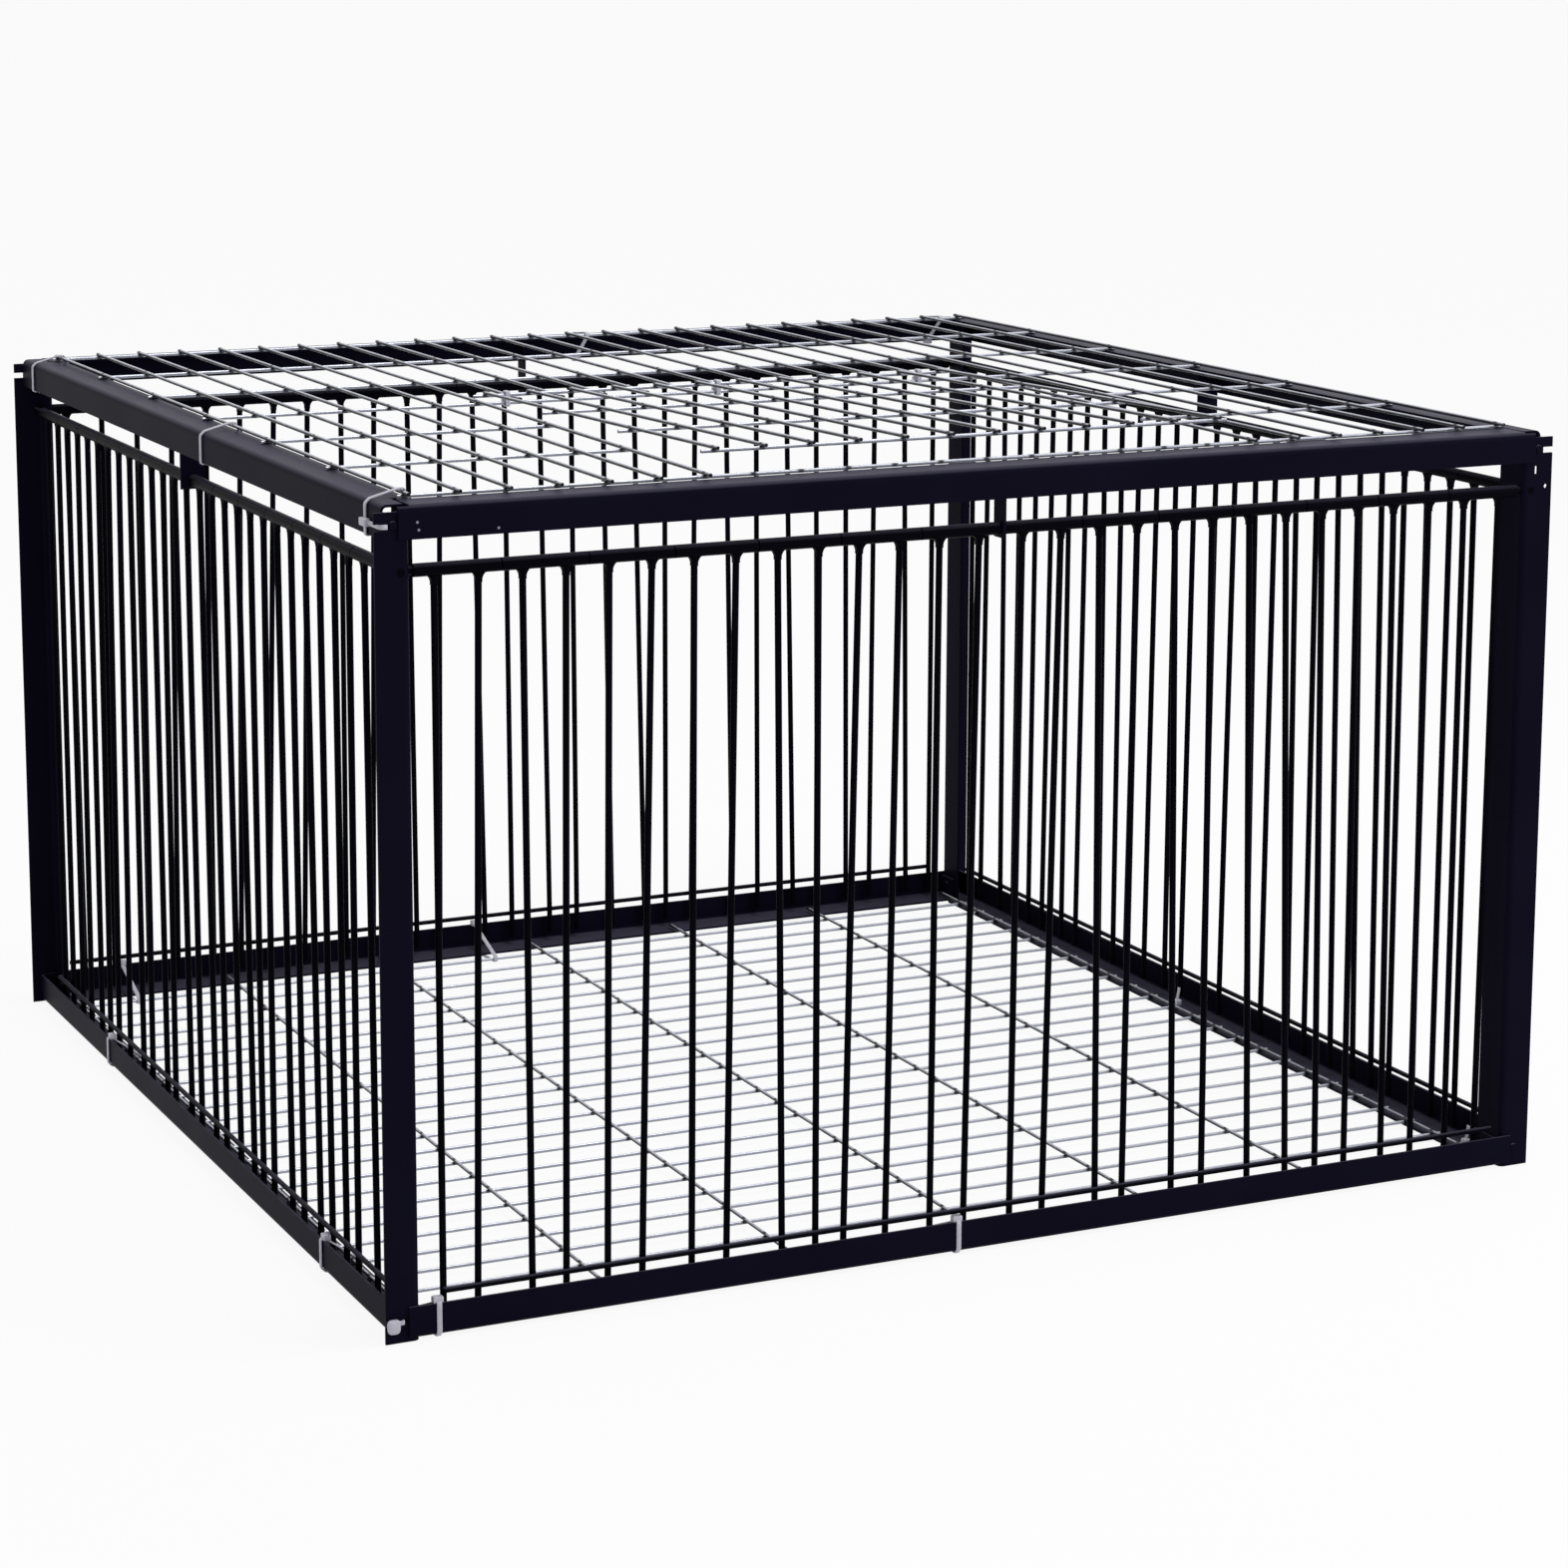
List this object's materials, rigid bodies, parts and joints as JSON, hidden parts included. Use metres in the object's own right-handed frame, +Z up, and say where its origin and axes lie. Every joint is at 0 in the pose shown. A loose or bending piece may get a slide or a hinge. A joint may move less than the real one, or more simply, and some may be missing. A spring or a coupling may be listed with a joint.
{
  "type": "pigeon trap",
  "caption": "Square wire pigeon trap with one-way swinging bobs on all sides, a welded mesh top with a hatch and a mesh floor, in a black sheet frame.",
  "frame": {"origin": "centre of the base, on the plane the posts stand on", "axes": "+Z up; -Y is the side with the hatch, the front; +X to the right seen from the front"},
  "size_m": [0.49, 0.4924, 0.3125],
  "materials": {
    "frame_coat": "satin black powder coat on folded steel sheet",
    "rod_coat": "black coated steel rod",
    "bob_coat": "black coated steel wire",
    "mesh_zinc": "galvanised welded wire",
    "tie_nylon": "natural nylon cable tie",
    "rivet_coat": "black coated rivet"
  },
  "bodies": {
    "frame": {"bottom_rail_back": "frame_coat", "bottom_rail_front": "frame_coat", "bottom_rail_left": "frame_coat", "bottom_rail_right": "frame_coat", "end_bobs_back": "bob_coat", "end_bobs_front": "bob_coat", "end_bobs_left": "bob_coat", "end_bobs_right": "bob_coat", "floor_mesh": "mesh_zinc", "floor_ties": "tie_nylon", "hanger_back": "frame_coat", "hanger_front": "frame_coat", "hanger_left": "frame_coat", "hanger_right": "frame_coat", "hatch_ties": "tie_nylon", "post_back_left": "frame_coat", "post_back_right": "frame_coat", "post_front_left": "frame_coat", "post_front_right": "frame_coat", "rivets": "rivet_coat", "rod_back": "rod_coat", "rod_front": "rod_coat", "rod_left": "rod_coat", "rod_right": "rod_coat", "stop_wire_back": "rod_coat", "stop_wire_front": "rod_coat", "stop_wire_left": "rod_coat", "stop_wire_right": "rod_coat", "top_mesh": "mesh_zinc", "top_rail_back": "frame_coat", "top_rail_front": "frame_coat", "top_rail_left": "frame_coat", "top_rail_right": "frame_coat", "top_ties": "tie_nylon"},
    "bobs_front_1": {"bobs_front_1": "bob_coat"},
    "bobs_front_2": {"bobs_front_2": "bob_coat"},
    "bobs_front_3": {"bobs_front_3": "bob_coat"},
    "bobs_front_4": {"bobs_front_4": "bob_coat"},
    "bobs_front_5": {"bobs_front_5": "bob_coat"},
    "bobs_front_6": {"bobs_front_6": "bob_coat"},
    "bobs_back_1": {"bobs_back_1": "bob_coat"},
    "bobs_back_2": {"bobs_back_2": "bob_coat"},
    "bobs_back_3": {"bobs_back_3": "bob_coat"},
    "bobs_back_4": {"bobs_back_4": "bob_coat"},
    "bobs_back_5": {"bobs_back_5": "bob_coat"},
    "bobs_back_6": {"bobs_back_6": "bob_coat"},
    "bobs_left_1": {"bobs_left_1": "bob_coat"},
    "bobs_left_2": {"bobs_left_2": "bob_coat"},
    "bobs_left_3": {"bobs_left_3": "bob_coat"},
    "bobs_left_4": {"bobs_left_4": "bob_coat"},
    "bobs_left_5": {"bobs_left_5": "bob_coat"},
    "bobs_left_6": {"bobs_left_6": "bob_coat"},
    "bobs_right_1": {"bobs_right_1": "bob_coat"},
    "bobs_right_2": {"bobs_right_2": "bob_coat"},
    "bobs_right_3": {"bobs_right_3": "bob_coat"},
    "bobs_right_4": {"bobs_right_4": "bob_coat"},
    "bobs_right_5": {"bobs_right_5": "bob_coat"},
    "bobs_right_6": {"bobs_right_6": "bob_coat"},
    "hatch": {"hatch": "mesh_zinc"}
  },
  "joints": [
    {"name": "bobs_front_1_swing", "type": "hinge", "parent": "frame", "child": "bobs_front_1", "pos_m": [-0.16485, -0.2408, 0.277], "axis": [1, 0, 0], "range_deg": [0, 58]},
    {"name": "bobs_front_2_swing", "type": "hinge", "parent": "frame", "child": "bobs_front_2", "pos_m": [-0.09925, -0.2408, 0.277], "axis": [1, 0, 0], "range_deg": [0, 58]},
    {"name": "bobs_front_3_swing", "type": "hinge", "parent": "frame", "child": "bobs_front_3", "pos_m": [-0.03365, -0.2408, 0.277], "axis": [1, 0, 0], "range_deg": [0, 58]},
    {"name": "bobs_front_4_swing", "type": "hinge", "parent": "frame", "child": "bobs_front_4", "pos_m": [0.03365, -0.2408, 0.277], "axis": [1, 0, 0], "range_deg": [0, 58]},
    {"name": "bobs_front_5_swing", "type": "hinge", "parent": "frame", "child": "bobs_front_5", "pos_m": [0.09925, -0.2408, 0.277], "axis": [1, 0, 0], "range_deg": [0, 58]},
    {"name": "bobs_front_6_swing", "type": "hinge", "parent": "frame", "child": "bobs_front_6", "pos_m": [0.16485, -0.2408, 0.277], "axis": [1, 0, 0], "range_deg": [0, 58]},
    {"name": "bobs_back_1_swing", "type": "hinge", "parent": "frame", "child": "bobs_back_1", "pos_m": [0.16485, 0.2408, 0.277], "axis": [-1, 0, 0], "range_deg": [0, 58]},
    {"name": "bobs_back_2_swing", "type": "hinge", "parent": "frame", "child": "bobs_back_2", "pos_m": [0.09925, 0.2408, 0.277], "axis": [-1, 0, 0], "range_deg": [0, 58]},
    {"name": "bobs_back_3_swing", "type": "hinge", "parent": "frame", "child": "bobs_back_3", "pos_m": [0.03365, 0.2408, 0.277], "axis": [-1, 0, 0], "range_deg": [0, 58]},
    {"name": "bobs_back_4_swing", "type": "hinge", "parent": "frame", "child": "bobs_back_4", "pos_m": [-0.03365, 0.2408, 0.277], "axis": [-1, 0, 0], "range_deg": [0, 58]},
    {"name": "bobs_back_5_swing", "type": "hinge", "parent": "frame", "child": "bobs_back_5", "pos_m": [-0.09925, 0.2408, 0.277], "axis": [-1, 0, 0], "range_deg": [0, 58]},
    {"name": "bobs_back_6_swing", "type": "hinge", "parent": "frame", "child": "bobs_back_6", "pos_m": [-0.16485, 0.2408, 0.277], "axis": [-1, 0, 0], "range_deg": [0, 58]},
    {"name": "bobs_left_1_swing", "type": "hinge", "parent": "frame", "child": "bobs_left_1", "pos_m": [-0.23545, 0.16485, 0.277], "axis": [0, -1, 0], "range_deg": [0, 58]},
    {"name": "bobs_left_2_swing", "type": "hinge", "parent": "frame", "child": "bobs_left_2", "pos_m": [-0.23545, 0.09925, 0.277], "axis": [0, -1, 0], "range_deg": [0, 58]},
    {"name": "bobs_left_3_swing", "type": "hinge", "parent": "frame", "child": "bobs_left_3", "pos_m": [-0.23545, 0.03365, 0.277], "axis": [0, -1, 0], "range_deg": [0, 58]},
    {"name": "bobs_left_4_swing", "type": "hinge", "parent": "frame", "child": "bobs_left_4", "pos_m": [-0.23545, -0.03365, 0.277], "axis": [0, -1, 0], "range_deg": [0, 58]},
    {"name": "bobs_left_5_swing", "type": "hinge", "parent": "frame", "child": "bobs_left_5", "pos_m": [-0.23545, -0.09925, 0.277], "axis": [0, -1, 0], "range_deg": [0, 58]},
    {"name": "bobs_left_6_swing", "type": "hinge", "parent": "frame", "child": "bobs_left_6", "pos_m": [-0.23545, -0.16485, 0.277], "axis": [0, -1, 0], "range_deg": [0, 58]},
    {"name": "bobs_right_1_swing", "type": "hinge", "parent": "frame", "child": "bobs_right_1", "pos_m": [0.23545, -0.16485, 0.277], "axis": [0, 1, 0], "range_deg": [0, 58]},
    {"name": "bobs_right_2_swing", "type": "hinge", "parent": "frame", "child": "bobs_right_2", "pos_m": [0.23545, -0.09925, 0.277], "axis": [0, 1, 0], "range_deg": [0, 58]},
    {"name": "bobs_right_3_swing", "type": "hinge", "parent": "frame", "child": "bobs_right_3", "pos_m": [0.23545, -0.03365, 0.277], "axis": [0, 1, 0], "range_deg": [0, 58]},
    {"name": "bobs_right_4_swing", "type": "hinge", "parent": "frame", "child": "bobs_right_4", "pos_m": [0.23545, 0.03365, 0.277], "axis": [0, 1, 0], "range_deg": [0, 58]},
    {"name": "bobs_right_5_swing", "type": "hinge", "parent": "frame", "child": "bobs_right_5", "pos_m": [0.23545, 0.09925, 0.277], "axis": [0, 1, 0], "range_deg": [0, 58]},
    {"name": "bobs_right_6_swing", "type": "hinge", "parent": "frame", "child": "bobs_right_6", "pos_m": [0.23545, 0.16485, 0.277], "axis": [0, 1, 0], "range_deg": [0, 58]},
    {"name": "hatch_hinge", "type": "hinge", "parent": "frame", "child": "hatch", "pos_m": [0, 0, 0.3044], "axis": [-1, 0, 0], "range_deg": [0, 100]}
  ]
}
